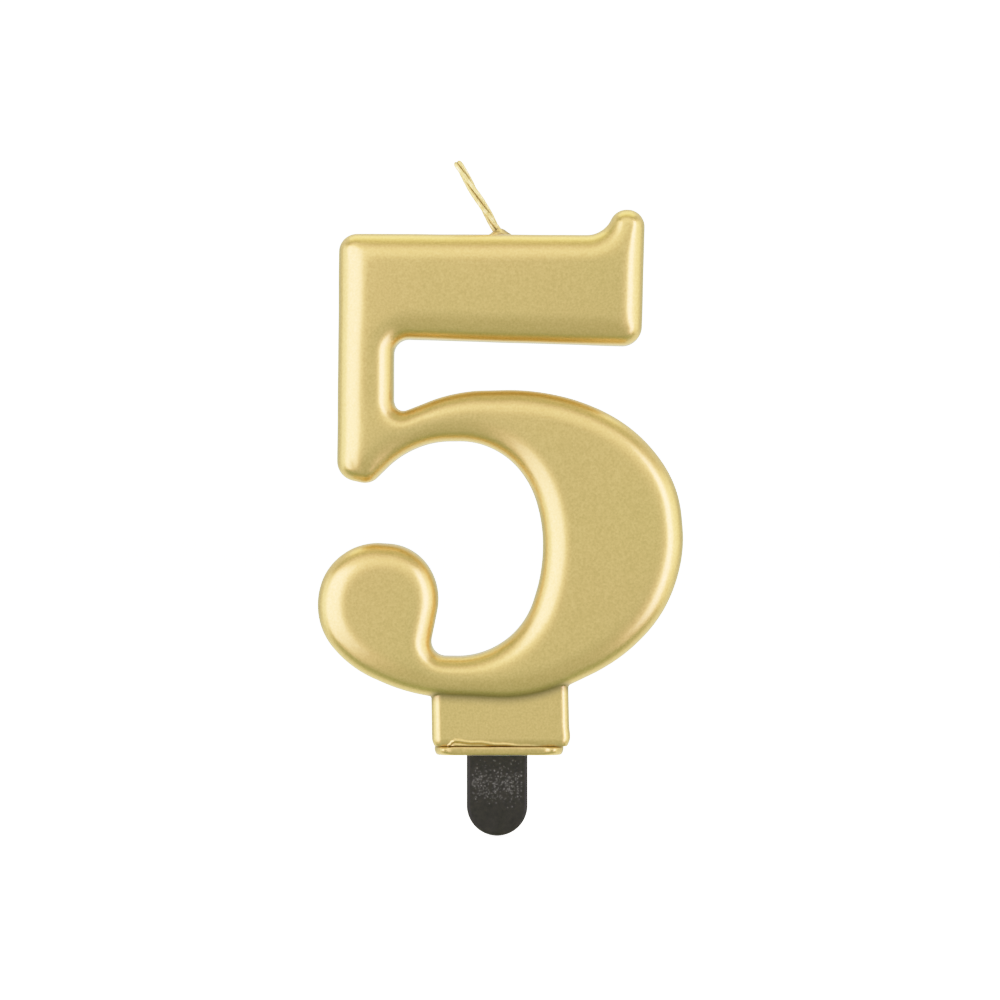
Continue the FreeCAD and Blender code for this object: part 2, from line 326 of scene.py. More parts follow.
def fold_relief(x, z):
    """The fold above the plinth's lower edge: a crest, a groove below it and a second, lower roll."""
    crest = crest_height(x)
    room = 1 / (1 + np.exp(-(crest - ROLL_ROOM) / ROLL_FADE))
    relief = CREST_HIGH * bell(z - crest, CREST_WIDE)
    relief = relief - GROOVE_DEEP * room * bell(z - crest + GROOVE_DROP, GROOVE_WIDE)
    return relief + ROLL_HIGH * room * bell(z - ROLL_HEIGHT, ROLL_WIDE)


def plinth(x, y, z):
    """The plinth, bulging a little at its lower right, drawn in and folded at its lower edge."""
    shift = PLINTH_SHIFT * np.clip(PLINTH_SHIFT_FROM - z, -2.0, 6.8)
    left = PLINTH_LEFT + shift
    right = PLINTH_RIGHT + shift + BULGE * bell(z - BULGE_HEIGHT, BULGE_SPREAD)
    tuck = TUCK * np.clip((TUCK_FROM - z) / TUCK_REACH, 0, 1) ** 2
    fold = fold_relief(x, z) * np.clip((FOLD_END - np.abs(x)) / FOLD_FADE, 0, 1)
    plan = rounded_rectangle(x, y, left, right, PLINTH_HALF - TRIM, PLINTH_EDGE) - fold + tuck
    ends = np.maximum(PLINTH_BOTTOM - z, z - PLINTH_TOP)
    return round_corner(plan, ends, LIP)


def warp(x, z):
    """How far the faces stray from flat, at the stem's left and at the bar's right end."""
    stem = np.clip((z - STEM_FROM) / STEM_RAMP, 0, 1) * np.maximum(STEM_SIDE - x, 0)
    bar = np.clip((z - BAR_FROM) / BAR_RAMP, 0, 1)
    end = np.clip((x - BAR_START) / BAR_RUN, 0, 1.2)
    return STEM_FALL * stem - BAR_LEAN * bar * end * (z - BAR_MIDDLE)


def figure(x, y, z):
    """The figure five without its plinth: crowned faces and wide, rounded edges."""
    half = FIGURE_HALF - crown_drop(x, z) - warp(x, z)
    return rounded_slab(soft_depth(x, z) - TRIM, half - np.abs(y), EDGE_WIDE, EDGE_DEEP)


def casting(x, y, z):
    """The whole casting: figure and plinth in one."""
    return smooth_min(figure(x, y, z), plinth(x, y, z), BLEND) + swell(x, y, z)


def painted_crease_shade(x, y, z):
    """How much painted shade: one in the crease between bowl and plinth, less under the plinth's edge, zero
    away from both.
    """
    junction = bell(np.hypot(figure(x, y, z), plinth(x, y, z)), CREASE_WIDE)
    under_lip = bell(np.maximum(z - PLINTH_BOTTOM, 0), SHADE_ABOVE)
    return np.maximum(junction, LIP_SHADE * under_lip)


# --- surfaces ---
def surface_net(solid, xs, ys, zs):
    """Quads round a solid on a grid of planes: one point in each cell that the surface crosses."""
    gx, gy, gz = np.meshgrid(xs, ys, zs, indexing="ij")
    value = solid(gx.ravel(), gy.ravel(), gz.ravel()).reshape(gx.shape)
    inside = value < 0
    cells = tuple(n - 1 for n in value.shape)
    total = np.zeros(cells, int)
    for i in (0, 1):
        for j in (0, 1):
            for k in (0, 1):
                total += inside[i:i + cells[0], j:j + cells[1], k:k + cells[2]]
    active = (total > 0) & (total < 8)
    number = np.full(cells, -1)
    number[active] = np.arange(active.sum())
    ci, cj, ck = np.nonzero(active)
    point = np.zeros((len(ci), 3))
    hits = np.zeros(len(ci))
    corners = [(i, j, k) for i in (0, 1) for j in (0, 1) for k in (0, 1)]
    for a in corners:
        for b in corners:
            if sum(b) - sum(a) != 1 or any(q < p for p, q in zip(a, b)):
                continue
            va = value[ci + a[0], cj + a[1], ck + a[2]]
            vb = value[ci + b[0], cj + b[1], ck + b[2]]
            cross = (va < 0) != (vb < 0)
            t = np.where(cross, va / np.where(cross, va - vb, 1), 0)
            pa = np.stack([xs[ci + a[0]], ys[cj + a[1]], zs[ck + a[2]]], 1)
            pb = np.stack([xs[ci + b[0]], ys[cj + b[1]], zs[ck + b[2]]], 1)
            point += np.where(cross[:, None], pa + (pb - pa) * t[:, None], 0)
            hits += cross
    point /= hits[:, None]
    faces = []
    for axis in range(3):
        lo = [slice(1, -1)] * 3
        lo[axis] = slice(0, -1)
        hi = list(lo)
        hi[axis] = slice(1, None)
        a, b = inside[tuple(lo)], inside[tuple(hi)]
        for flip in (False, True):
            cross = (a & ~b) if not flip else (~a & b)
            idx = list(np.nonzero(cross))
            for n in range(3):
                if n != axis:
                    idx[n] = idx[n] + 1
            p, q = [n for n in range(3) if n != axis]
            ring = []
            for dp, dq in ((0, 0), (-1, 0), (-1, -1), (0, -1)):
                at = [idx[0].copy(), idx[1].copy(), idx[2].copy()]
                at[p] = at[p] + dp
                at[q] = at[q] + dq
                ring.append(number[tuple(at)])
            if flip != (axis == 1):
                ring.reverse()
            faces.append(np.stack(ring, 1))
    return point, np.concatenate(faces)


def gradient(solid, point, step=0.01):
    """How the solid's value grows along each axis, at each point."""
    out = np.empty_like(point)
    for axis in range(3):
        shift = np.zeros(3)
        shift[axis] = step
        hi, lo = point + shift, point - shift
        out[:, axis] = (solid(*hi.T) - solid(*lo.T)) / (2 * step)
    return out


def settle(solid, point, level=0.0, rounds=2):
    """Moves points on to the surface where the solid's value is level."""
    for _ in range(rounds):
        slope = gradient(solid, point)
        reach = (solid(*point.T) - level) / np.maximum((slope ** 2).sum(1), 1e-6)
        point = point - slope * np.clip(reach, -0.3, 0.3)[:, None]
    return point


def relax(point, faces, share=0.5):
    """Moves each point part of the way to the mean of its neighbours."""
    total = np.zeros_like(point)
    count = np.zeros(len(point))
    for a, b in ((0, 1), (1, 2), (2, 3), (3, 0)):
        for p, q in ((a, b), (b, a)):
            np.add.at(total, faces[:, p], point[faces[:, q]])
            np.add.at(count, faces[:, p], 1)
    return point + (total / np.maximum(count, 1)[:, None] - point) * share


def solid_mesh(solid, xs, ys, zs, level=0.0, passes=2):
    """An even mesh of the surface where the solid's value is level."""
    point, faces = surface_net(lambda *p: solid(*p) - level, xs, ys, zs)
    point = settle(solid, point, level)
    for _ in range(passes):
        point = settle(solid, relax(point, faces), level)
    return point, faces


def graded(stops):
    """Grid positions from (position, spacing) stops, the spacing changing evenly between them."""
    out = [stops[0][0]]
    while out[-1] < stops[-1][0]:
        at = out[-1]
        out.append(at + float(np.interp(at, [s[0] for s in stops], [s[1] for s in stops])))
    return np.array(out)


# --- pieces ---
def new_mesh(name, point, faces):
    """A mesh from points in millimetres."""
    mesh = bpy.data.meshes.new(name)
    mesh.from_pydata((np.asarray(point) * MM).tolist(), [], [list(map(int, face)) for face in faces])
    return mesh


def make_piece(name, point, faces, material, replaces):
    """A smoothly shaded piece that stands for the CAD nodes it replaces."""
    mesh = new_mesh(name, point, faces)
    mesh.validate()
    mesh.materials.append(material)
    mesh.shade_smooth()
    piece = bpy.data.objects.new(name, mesh)
    bpy.context.collection.objects.link(piece)
    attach(piece, "root")
    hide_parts(*replaces)
    return piece


def store(piece, name, values):
    """Keeps a number for each point of a piece, for its material to read."""
    layer = piece.data.attributes.new(name, "FLOAT", "POINT")
    layer.data.foreach_set("value", values)


MIX_A, MIX_B, MIX_RESULT = 6, 7, 2  # places of the mix node's colour sockets


class Nodes:
    """Builds a material's node tree."""

    def __init__(self, name):
        self.mat = bpy.data.materials.new(name)
        self.mat.use_nodes = True
        self.tree = self.mat.node_tree
        self.shader = self.tree.nodes["Principled BSDF"]
        self.place = self.tree.nodes.new("ShaderNodeTexCoord").outputs["Object"]

    def link(self, source, target):
        self.tree.links.new(source, target)

    def noise(self, scale, detail=2.0, rough=0.5, stretch=None):
        """Cloudy noise from 0 to 1, drawn out along an axis whose stretch is below 1."""
        node = self.tree.nodes.new("ShaderNodeTexNoise")
        node.inputs["Scale"].default_value = scale
        node.inputs["Detail"].default_value = detail
        node.inputs["Roughness"].default_value = rough
        place = self.place
        if stretch:
            mapping = self.tree.nodes.new("ShaderNodeMapping")
            mapping.inputs["Scale"].default_value = stretch
            self.link(place, mapping.inputs["Vector"])
            place = mapping.outputs["Vector"]
        self.link(place, node.inputs["Vector"])
        return node.outputs["Fac"]

    def attribute(self, name):
        """A number stored on the mesh's points."""
        node = self.tree.nodes.new("ShaderNodeAttribute")
        node.attribute_name = name
        return node.outputs["Fac"]

    def spread(self, value, low, high, to_low, to_high):
        """Maps the range low to high of a value on to another range."""
        node = self.tree.nodes.new("ShaderNodeMapRange")
        limits = {"From Min": low, "From Max": high, "To Min": to_low, "To Max": to_high}
        for name, number in limits.items():
            node.inputs[name].default_value = number
        self.link(value, node.inputs["Value"])
        return node.outputs["Result"]

    def ramp(self, value, stops):
        """A colour that runs through the stops as the value grows."""
        node = self.tree.nodes.new("ShaderNodeValToRGB")
        ramp = node.color_ramp
        while len(ramp.elements) < len(stops):
            ramp.elements.new(0.5)
        for element, (position, colour) in zip(ramp.elements, stops):
            element.position = position
            element.color = (*colour, 1)
        self.link(value, node.inputs["Fac"])
        return node.outputs["Color"]

    def mix(self, share, a, b):
        """Colour a where the share is 0, b where it is 1."""
        node = self.colours("MIX", a, b)
        self.link(share, node.inputs["Factor"])
        return node.outputs[MIX_RESULT]

    def multiply(self, a, b):
        """Colour a darkened by colour b."""
        node = self.colours("MULTIPLY", a, b)
        node.inputs["Factor"].default_value = 1.0
        return node.outputs[MIX_RESULT]

    def colours(self, kind, a, b):
        node = self.tree.nodes.new("ShaderNodeMix")
        node.data_type = "RGBA"
        node.blend_type = kind
        self.link(a, node.inputs[MIX_A])
        self.link(b, node.inputs[MIX_B])
        return node

    def bump(self, height, distance, strength, base=None):
        """A surface roughened by the height, on top of the base roughening."""
        node = self.tree.nodes.new("ShaderNodeBump")
        node.inputs["Distance"].default_value = distance
        node.inputs["Strength"].default_value = strength
        self.link(height, node.inputs["Height"])
        if base:
            self.link(base, node.inputs["Normal"])
        return node.outputs["Normal"]

    def finish(self, colour, roughness, normal, **fixed):
        """Joins up the shader; fixed numbers go straight on its sockets."""
        self.link(colour, self.shader.inputs["Base Color"])
        self.link(roughness, self.shader.inputs["Roughness"])
        self.link(normal, self.shader.inputs["Normal"])
        for name, number in fixed.items():
            self.shader.inputs[name.replace("_", " ")].default_value = number
        return self.mat


def gold_lacquer():
    """Satin lacquer: fine metal flake under a clear coat, drifting in tint, darkened by painted shade in
    the crease above the plinth and under the plinth's edge.
    """
    n = Nodes("gold_lacquer")
    flake = n.noise(3200, 1.5, 0.5)
    drift = n.noise(45, 1.0, 0.5)
    fine = n.ramp(flake, [(0.25, (0.765, 0.585, 0.20)), (0.5, (0.828, 0.64, 0.233)),
                          (0.75, (0.885, 0.695, 0.27))])
    tint = n.ramp(drift, [(0.3, (0.98, 1.0, 0.97)), (0.5, (1.0, 1.0, 1.0)), (0.7, (1.0, 0.985, 1.0))])
    colour = n.multiply(fine, tint)
    # painted shade: the colour darkens where the crease attribute is high
    painted_shade = n.ramp(n.attribute("crease"), [(0.0, (1.0, 1.0, 1.0)), (1.0, (0.53, 0.53, 0.52))])
    colour = n.multiply(colour, painted_shade)
    roughness = n.spread(flake, 0.25, 0.75, 0.34, 0.38)
    normal = n.bump(n.noise(130, 1.0, 0.5), 0.00001, 0.5)
    normal = n.bump(flake, 0.000004, 0.8, normal)
    return n.finish(colour, roughness, normal, Metallic=1.0, Coat_Weight=1.0, Coat_Roughness=0.18)


def candle_wax():
    """Bare wax: pale, slightly cloudy, with a dull skin."""
    n = Nodes("candle_wax")
    cloud = n.ramp(n.noise(160, 4.0, 0.6), [(0.3, (0.80, 0.70, 0.47)), (0.7, (0.88, 0.80, 0.60))])
    roughness = n.spread(n.noise(420, 3.0, 0.6), 0.3, 0.7, 0.38, 0.62)
    normal = n.bump(n.noise(500, 4.0, 0.6), 0.00003, 0.7)
    return n.finish(cloud, roughness, normal, Subsurface_Weight=0.25, Subsurface_Scale=0.002)


def dark_plastic():
    """Moulded plastic: near black with an olive cast and a fine grain, with painted highlights on its
    stipple dots.
    """
    n = Nodes("dark_plastic")
    grain = n.ramp(n.noise(1500, 3.0, 0.7), [(0.3, (0.009, 0.009, 0.004)), (0.7, (0.020, 0.019, 0.010))])
    # painted highlight: the stipple dots are lighter the higher they stand
    pale = n.ramp(n.noise(2600, 2.0, 0.6), [(0.35, (0.035, 0.035, 0.025)), (0.65, (0.16, 0.16, 0.135))])
    colour = n.mix(n.spread(n.attribute("dot_glint"), 0.2, 0.9, 0.0, 1.0), grain, pale)
    roughness = n.spread(n.noise(900, 3.0, 0.6, (1.0, 1.0, 0.35)), 0.3, 0.7, 0.36, 0.55)
    normal = n.bump(n.noise(2400, 2.0, 0.6), 0.00002, 0.7)
    normal = n.bump(n.noise(260, 2.0, 0.5), 0.00003, 0.4, normal)
    return n.finish(colour, roughness, normal, Specular_IOR_Level=0.32)


def lacquered_cotton():
    """Cotton yarn dipped in the gold lacquer: pale gold outside, with painted shade between the plies."""
    n = Nodes("lacquered_cotton")
    thread = n.ramp(n.noise(1300, 3.0, 0.6),
                    [(0.3, (0.66, 0.54, 0.19)), (0.5, (0.80, 0.69, 0.30)), (0.72, (0.91, 0.83, 0.48))])
    # painted shade: darker olive on the plies nearest the wick's centre line, where they meet
    shade_between_plies = n.ramp(n.noise(900, 2.0, 0.6), [(0.35, (0.50, 0.41, 0.12)), (0.65, (0.66, 0.56, 0.22))])
    thread = n.mix(n.spread(n.attribute("outward"), 0.45, 0.95, 0.0, 1.0), shade_between_plies, thread)
    roughness = n.spread(n.noise(1700, 3.0, 0.6), 0.3, 0.7, 0.34, 0.55)
    normal = n.bump(n.noise(3000, 2.0, 0.6), 0.00001, 0.5)
    return n.finish(thread, roughness, normal, Metallic=0.6, Coat_Weight=0.5, Coat_Roughness=0.25)


GOLD = gold_lacquer()
WAX = candle_wax()
PICK = dark_plastic()
WICK = lacquered_cotton()


def plan_of_foot(x, y):
    """Signed distance to the foot's outline in plan."""
    return rounded_rectangle(x, y, FOOT_LEFT, FOOT_RIGHT, FOOT_HALF, FOOT_CORNER)


def foot_slope(x, y, step=0.01):
    """The direction straight out from the foot's outline."""
    slope_x = (plan_of_foot(x + step, y) - plan_of_foot(x - step, y)) / (2 * step)
    slope_y = (plan_of_foot(x, y + step) - plan_of_foot(x, y - step)) / (2 * step)
    return slope_x, slope_y


def join_loops(loops, caps=False, closed=False):
    """Point and face lists for a row of equal loops, joined in order."""
    count = len(loops[0])
    faces = []
    last = len(loops) if closed else len(loops) - 1
    for i in range(last):
        a, b = i * count, (i + 1) % len(loops) * count
        for j in range(count):
            k = (j + 1) % count
            faces.append((a + j, a + k, b + k, b + j))
    if caps:
        top = (len(loops) - 1) * count
        faces.append(tuple(range(count - 1, -1, -1)))
        faces.append(tuple(range(top, top + count)))
    return np.concatenate(loops), faces


def kept_part(point, faces, keep):
    """The faces marked to keep, with only the points that they use."""
    faces = faces[keep]
    used = np.unique(faces)
    number = np.full(len(point), -1)
    number[used] = np.arange(len(used))
    return point[used], number[faces]


def without_underside(point, faces, level):
    """Opens the casting's underside inside the foot, with a neat rim at the given height."""
    plan = plan_of_foot(point[:, 0], point[:, 1])
    under = (point[:, 2] < PLINTH_BOTTOM + 0.45) & (plan < -FOOT_OPENING)
    point, faces = kept_part(point, faces, ~under[faces].any(1))
    edges = np.sort(np.concatenate([faces[:, [i, (i + 1) % 4]] for i in range(4)]), axis=1)
    pairs, times = np.unique(edges, axis=0, return_counts=True)
    rim = np.unique(pairs[times == 1])
    x, y = point[rim, 0], point[rim, 1]
    slope_x, slope_y = foot_slope(x, y)
    short = -FOOT_OPENING - plan_of_foot(x, y)
    point[rim, 0] += slope_x * short
    point[rim, 1] += slope_y * short
    point[rim, 2] = level
    return point, faces


def fine_grid():
    """Grid for the casting's outer face, close where it is folded or creased."""
    half = graded([(0.0, 0.4), (2.4, 0.4), (3.1, 0.18), (4.2, 0.18), (5.0, 0.38), (6.4, 0.38)])
    zs = graded([(0.7, 0.1), (2.7, 0.1), (4.5, 0.4), (7.2, 0.4), (8.2, 0.22), (12.0, 0.22),
                 (13.5, 0.4), (83, 0.4)])
    return graded([(-29, 0.4), (30, 0.4)]), np.concatenate([-half[:0:-1], half]), zs


def coarse_grid():
    """Grid for the faces that don't show."""
    return (graded([(-29, 1.0), (30, 1.0)]), graded([(-6.5, 0.6), (6.5, 0.6)]),
            graded([(0.6, 0.5), (4.0, 0.5), (8.0, 1.0), (83, 1.0)]))


def close_rims(mesh):
    """Joins a mesh's two open rims with a strip of faces."""
    form = bmesh.new()
    form.from_mesh(mesh)
    bmesh.ops.bridge_loops(form, edges=[edge for edge in form.edges if edge.is_boundary])
    bmesh.ops.triangulate(form, faces=[face for face in form.faces if len(face.verts) > 4])
    form.to_mesh(mesh)
    form.free()


def gold_skin():
    """The lacquer as a closed skin: a fine outer face and a plain inner face, joined round the foot."""
    outer, outer_faces = solid_mesh(casting, *fine_grid())
    outer, outer_faces = without_underside(outer, outer_faces, PLINTH_BOTTOM)
    inner, inner_faces = solid_mesh(casting, *coarse_grid(), -COAT)
    inner, inner_faces = without_underside(inner, inner_faces, PLINTH_BOTTOM + COAT)
    point = np.concatenate([outer, inner])
    faces = np.concatenate([outer_faces, inner_faces[:, ::-1] + len(outer)])
    piece = make_piece("gold_skin", point, faces, GOLD, ["gold_coat"])
    close_rims(piece.data)
    slope = gradient(casting, outer)
    normals = np.zeros((len(piece.data.vertices), 3))
    normals[:len(outer)] = slope / np.linalg.norm(slope, axis=1)[:, None]
    piece.data.shade_smooth()
    piece.data.normals_split_custom_set_from_vertices(normals.tolist())
    # painted shade in the crease between bowl and plinth, and under the plinth's edge
    crease = np.zeros(len(piece.data.vertices))
    crease[:len(outer)] = painted_crease_shade(*outer.T)
    store(piece, "crease", crease)


def cut(piece, point, faces):
    """Cuts a closed shape out of a piece."""
    cutter = bpy.data.objects.new("cutter", new_mesh("cutter", point, faces))
    bpy.context.collection.objects.link(cutter)
    difference = piece.modifiers.new("cut", "BOOLEAN")
    difference.operation = "DIFFERENCE"
    difference.solver = "EXACT"
    difference.object = cutter
    graph = bpy.context.evaluated_depsgraph_get()
    result = bpy.data.meshes.new_from_object(piece.evaluated_get(graph))
    piece.modifiers.clear()
    piece.data = result
    bpy.data.objects.remove(cutter)


def wax_body():
    """The wax casting inside its skin, with the pick's pocket and the wick's bore cut out."""
    point, faces = solid_mesh(casting, *coarse_grid(), -COAT - GAP)
    piece = make_piece("wax_body", point, faces, WAX, ["wax_core"])
    cut(piece, *pick_point_and_faces(0.5, GAP))
    angle = np.linspace(0, 2 * math.pi, 24, endpoint=False)
    circle = np.stack([WICK_X + WICK_BORE * np.cos(angle), WICK_BORE * np.sin(angle), 0 * angle], 1)
    cut(piece, *join_loops([circle + [0, 0, WICK_FOOT - 0.1], circle + [0, 0, 80.0]], caps=True))


# --- foot ---
def foot_ring(inset, height):
    """One loop round the foot at an inset from its outline, with its points evenly spread."""
    left, right = FOOT_LEFT + inset, FOOT_RIGHT - inset
    half, corner = FOOT_HALF - inset, max(FOOT_CORNER - inset, 0.05)
    straight_x, straight_y = right - left - 2 * corner, 2 * (half - corner)
    quarter = corner * math.pi / 2
    total = 2 * (straight_x + straight_y) + 4 * quarter
    sides = (((right - corner, -half), (-1, 0), straight_x), ((left, -half + corner), (0, 1), straight_y),
             ((left + corner, half), (1, 0), straight_x), ((right, half - corner), (0, -1), straight_y))
    loop = []
    for i in range(LOOP_COUNT):
        way = total * i / LOOP_COUNT
        for (x, y), (ux, uy), run in sides:
            if way <= run:
                loop.append((x + ux * way, y + uy * way, height))
                break
            way -= run
            if way <= quarter:
                turn = way / corner
                inward, onward = corner * (1 - math.cos(turn)), corner * math.sin(turn)
                loop.append((x + ux * (run + onward) + uy * inward,
                             y + uy * (run + onward) - ux * inward, height))
                break
            way -= quarter
    return np.array(loop)


def lacquer_runs(loop, amount):
    """Pushes a loop outwards unevenly, and further out at the beads near its ends."""
    x, y = loop[:, 0], loop[:, 1]
    wave = (np.sin(0.9 * x + 0.6 * y) + 0.6 * np.sin(2.3 * x - 1.1 * y + 1.7)
            + 0.35 * np.sin(5.1 * x + 2.9 * y + 0.4)) * amount
    slope_x, slope_y = foot_slope(x, y)
    beads = bell(x - BEAD_LEFT, BEAD_LEFT_WIDE) + 0.9 * bell(x - BEAD_RIGHT, BEAD_RIGHT_WIDE)
    bead = BEAD * beads * amount
    return loop + np.stack([slope_x * wave, slope_y * wave + np.sign(y) * bead, 0 * wave], 1)


def foot_band():
    """The lacquer round the foot: a closed skin, rounded above and below."""
    loops = [lacquer_runs(foot_ring(inset, height), run) for inset, height, run in BAND_SECTION]
    point, faces = join_loops(loops, closed=True)
    piece = make_piece("foot_band", point, faces, GOLD, ["foot_coat"])
    # painted shadow along the band's top, under the plinth's edge
    store(piece, "crease", LIP_SHADE * bell(point[:, 2] - PLINTH_BOTTOM, SHADE_BELOW))


def pick_section(grow, height):
    """The pick's cross-section as a loop with the same number of points as the foot's."""
    loop = foot_ring(0.0, height)
    middle = (FOOT_LEFT + FOOT_RIGHT) / 2
    angle = np.arctan2(loop[:, 1] / FOOT_HALF, (loop[:, 0] - middle) / FOOT_SPREAD)
    half_y = PICK_THIN + grow
    rounded = half_y * PICK_ROUND
    flat = PICK_HALF + grow - rounded
    along = PICK_SPREAD * np.cos(angle)
    beyond = np.clip((np.abs(along) - 1) / (PICK_SPREAD - 1), 0, 1)
    x = np.clip(along, -1, 1) * flat + np.sign(along) * beyond * rounded
    y = np.sign(np.sin(angle)) * np.sqrt(1 - beyond ** 2) * half_y
    return np.stack([PICK_X + x, y, np.full(LOOP_COUNT, height)], 1)


def foot_wax():
    """The top-up of bare wax inside the band, drawn out a little along the pick."""
    pick, side = pick_section(GAP * 2, 0.0), foot_ring(SEAL_INSET, 0.0)
    loops = []
    for share in np.linspace(0, 1, 14):
        swollen = math.sin(math.pi * share)
        drawn = 0.16 * math.exp(-4.9 * share) - 0.05 * swollen
        loop = pick * (1 - share) + side * share
        loop[:, 2] = 0.03 * np.sin(1.3 * loop[:, 0] + 2.0 * loop[:, 1]) * swollen - drawn
        loops.append(loop)
    for inset, height in SEAL_SIDE:
        loops.append(foot_ring(inset, height))
    loops.append(pick_section(GAP * 2, SEAL_TOP))
    point, faces = join_loops(loops, closed=True)
    make_piece("foot_wax", point, faces, WAX, ["foot_seal"])


# --- pick ---
def pick_solid(x, y, z, grow=0.0):
    """The flat pick: round point below, chamfered anchor with two keying holes above."""
    out = np.abs(x - PICK_X)
    centre = PICK_TIP + PICK_HALF
    blade = np.where(z < centre, np.hypot(out, z - centre) - PICK_HALF, out - PICK_HALF)
    chamfer = (out + z - PICK_HALF - PICK_TOP + ANCHOR_CHAMFER) / math.sqrt(2)
    plan = np.maximum(np.maximum(blade, z - PICK_TOP), chamfer)
    holes = KEY_RADIUS - np.hypot(out - KEY_OUT, z - KEY_HEIGHT)
    plan = np.maximum(plan, holes) - grow
    return round_corner(plan, np.abs(y) - PICK_THIN - grow, PICK_EDGE)


def pick_point_and_faces(step, grow):
    """Mesh of the pick, grown outwards by a little."""
    across = min(step, 0.2)
    xs = graded([(PICK_X - 5.2, step), (PICK_X + 5.2, step)])
    ys = graded([(-1.3, across), (1.3, across)])
    zs = graded([(PICK_TIP - 0.6, step), (PICK_TOP + 0.8, step)])
    return solid_mesh(lambda x, y, z: pick_solid(x, y, z, grow), xs, ys, zs)


def stipple(point, normals):
    """Height of the moulded dots at each point: crowded in a band across the blade, sparse elsewhere."""
    rng = np.random.default_rng(11)
    lift = np.zeros(len(point))
    face_on = np.clip((np.abs(normals[:, 1]) - 0.9) / 0.1, 0, 1)
    for side in (-1, 1):
        chosen = np.nonzero((np.sign(point[:, 1]) == side) & (face_on > 0) & (point[:, 2] < 0))[0]
        for dot in range(DOTS):
            crowded = dot % 3 > 0
            x = PICK_X + rng.uniform(-DOT_SPREAD, DOT_SPREAD)
            z = rng.normal(DOTS_MIDDLE, DOTS_SCATTER) if crowded else rng.uniform(DOTS_LOWEST, DOTS_HIGHEST)
            size = rng.uniform(0.11, 0.17)
            high = rng.uniform(0.03, DOT_HIGHEST) if crowded else rng.uniform(0.01, 0.07)
            near = ((point[chosen, 0] - x) ** 2 + (point[chosen, 2] - z) ** 2) / size ** 2
            lift[chosen] = np.maximum(lift[chosen], high * np.exp(-near))
    return lift * face_on


def cake_pick():
    """The pick, with a moulded stipple on both faces of its blade."""
    point, faces = pick_point_and_faces(0.09, 0.0)
    normals = gradient(pick_solid, point)
    normals /= np.linalg.norm(normals, axis=1)[:, None]
    lift = stipple(point, normals)
    point = point + normals * lift[:, None]
    piece = make_piece("pick_blade", point, faces, PICK, ["cake_pick"])
    # dot height, which sets the painted highlight on the dots
    store(piece, "dot_glint", lift / DOT_HIGHEST)


# --- wick ---
def wick_station(travel):
    """Point on the wick's centre line after a length of travel, and the way across it to the right."""
    upright = BEND_START - WICK_FOOT
    turned = min(max(travel - upright, 0) / BEND_RADIUS, WICK_LEAN)
    beyond = max(travel - upright - BEND_RADIUS * WICK_LEAN, 0)
    risen = min(travel, upright)
    x = WICK_X - BEND_RADIUS * (1 - math.cos(turned)) - beyond * math.sin(WICK_LEAN)
    z = WICK_FOOT + risen + BEND_RADIUS * math.sin(turned) + beyond * math.cos(WICK_LEAN)
    return np.array([x, 0, z]), np.array([math.cos(turned), 0, math.sin(turned)])


def from_centre_line(point):
    """Distance of points from the wick's centre line."""
    line = np.array([wick_station(travel)[0] for travel in np.linspace(0, WICK_LENGTH, 160)])
    return np.array([np.sqrt(((line - p) ** 2).sum(1).min()) for p in point])


def ply_axis(number, travel):
    """Centre of a ply after a length of travel along the wick."""
    centre, across = wick_station(travel)
    phase = 2 * math.pi * (number / 3 - travel / PLY_PITCH) + PLY_START
    offset = PLY_OFFSET * (1 - PLY_CLOSING * max(travel - WICK_LENGTH + 1.0, 0) ** 2)
    return centre + across * offset * math.cos(phase) + np.array([0, offset * math.sin(phase), 0])


def ply_radius(number, travel, length):
    """Radius of a ply: a little uneven, and rounded off at its end."""
    uneven = 0.98 + 0.02 * math.sin(1.9 * travel + 2 * number) + 0.012 * math.sin(5.3 * travel + number)
    left = min((length - travel) / PLY_TIP, 1.0)
    return PLY_RADIUS * uneven * math.sqrt(max(1 - (1 - left) ** 2, 0.04))


def ply_mesh(number, length, around=42, along=0.1):
    """A ply swept along its path, its surface ribbed by yarns that twist about it."""
    angle = np.linspace(0, 2 * math.pi, around, endpoint=False)
    steps = int(length / along)
    loops = []
    for i in range(steps + 1):
        travel = length * i / steps
        ahead, behind = min(travel + 0.02, length), max(travel - 0.02, 0)
        heading = ply_axis(number, ahead) - ply_axis(number, behind)
        heading /= np.linalg.norm(heading)
        side = np.cross(heading, [0, 1, 0])
        side /= np.linalg.norm(side)
        other = np.cross(side, heading)
        rib = np.abs(np.cos(YARNS / 2 * (angle + 2 * math.pi * travel / YARN_PITCH)))
        radius = ply_radius(number, travel, length) * (1 - YARN_RELIEF + YARN_RELIEF * rib ** 0.7)
        loops.append(ply_axis(number, travel) + np.outer(radius * np.cos(angle), side)
                     + np.outer(radius * np.sin(angle), other))
    return join_loops(loops, caps=True)


def wick():
    """Three plies, each of them a piece of its own."""
    for number, short in enumerate(PLY_SHORT):
        point, faces = ply_mesh(number, WICK_LENGTH - short)
        piece = make_piece("wick_strand_%d" % (number + 1), point, faces, WICK,
                           ["wick_ply_%d" % (number + 1)])
        # distance from the centre line, which sets the painted shade between the plies
        store(piece, "outward", from_centre_line(point) / (PLY_OFFSET + PLY_RADIUS))


